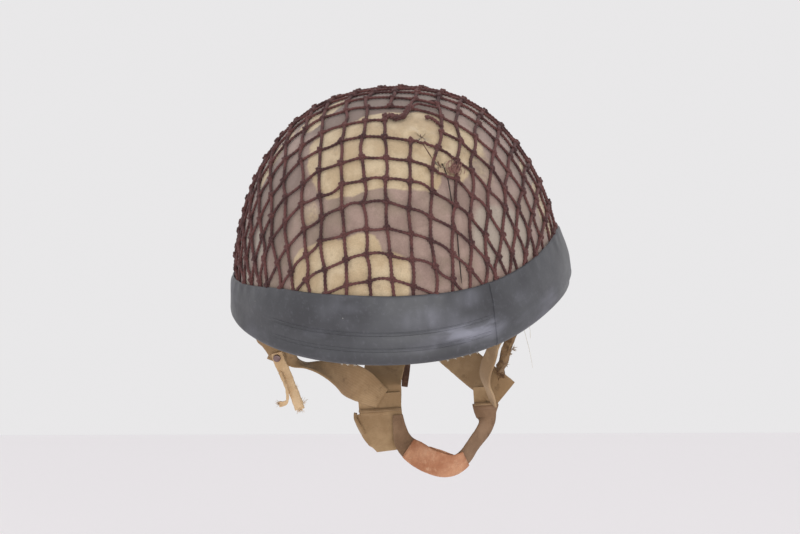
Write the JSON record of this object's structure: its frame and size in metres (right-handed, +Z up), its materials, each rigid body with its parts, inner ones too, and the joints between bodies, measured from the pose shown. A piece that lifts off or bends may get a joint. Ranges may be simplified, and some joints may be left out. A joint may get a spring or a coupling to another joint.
{
  "type": "military helmet",
  "caption": "domed steel helmet in a cloth cover and a knotted string net, with a rubber band round the rim, a padded liner and a web chin harness with a leather cup",
  "frame": {"origin": "middle of the head opening, in the plane of the rim at brow and nape", "axes": "+Z up out of the crown, -Y to the brow, +X to the left of the person who wears it"},
  "size_m": [0.2503, 0.2952, 0.3152],
  "materials": {
    "painted_steel": "matt sanded paint",
    "camouflage_cloth": "woven cloth with soft patches",
    "net_string": "twisted knotted string",
    "band_rubber": "dull, rubbed and dusty",
    "black_fibre": "pressed fibre",
    "sweatband_leather": "worn smooth",
    "lace_cord": "flat cord",
    "pad_rubber": "sponge rubber",
    "pale_tape": "woven cotton tape",
    "fastener_brass": "tarnished",
    "plain_steel": "dull with some rust",
    "brown_leather": "frayed",
    "dark_leather": "dry",
    "cup_leather": "thick and waxed",
    "harness_web": "woven cotton web"
  },
  "bodies": {
    "helmet": {"steel_shell": "painted_steel", "cloth_cover": "camouflage_cloth", "camouflage_net": "net_string", "rubber_band": "band_rubber", "headband_frame": "black_fibre", "sweatband": "sweatband_leather", "sweatband_lace": "lace_cord", "front_pad": "pad_rubber", "front_left_pad": "pad_rubber", "front_right_pad": "pad_rubber", "rear_left_pad": "pad_rubber", "rear_right_pad": "pad_rubber", "crown_pad": "pad_rubber", "crown_tape_long": "pale_tape", "crown_tape_cross": "pale_tape", "harness_bolts": "fastener_brass", "harness_spacers": "plain_steel", "harness_nuts": "fastener_brass", "strap_rivets": "fastener_brass", "left_hanger": "plain_steel", "right_hanger": "plain_steel", "rear_hanger": "plain_steel", "right_hanger_web": "harness_web", "left_side_strap": "harness_web", "right_side_strap": "harness_web", "left_nape_strap": "harness_web", "right_nape_strap": "harness_web", "left_junction_loop": "harness_web", "right_junction_loop": "harness_web", "frayed_strap": "brown_leather", "leather_keeper": "dark_leather", "torn_strap_rivet": "plain_steel"},
    "chin_loop": {"chin_strap": "harness_web", "chin_web": "harness_web", "chin_cup": "cup_leather", "chin_cup_lining": "cup_leather"},
    "torn_tail": {"torn_strap": "harness_web", "torn_strand": "harness_web"}
  },
  "joints": [
    {"name": "chin_strap_swing", "type": "hinge", "parent": "helmet", "child": "chin_loop", "pos_m": [0.015, 0.07, -0.1], "axis": [1, 0, 0], "range_deg": [-75, 35]},
    {"name": "torn_strap_swing", "type": "hinge", "parent": "helmet", "child": "torn_tail", "pos_m": [-0.0975, 0.0099, -0.034], "axis": [0, 1, 0], "range_deg": [-28, 28]}
  ]
}
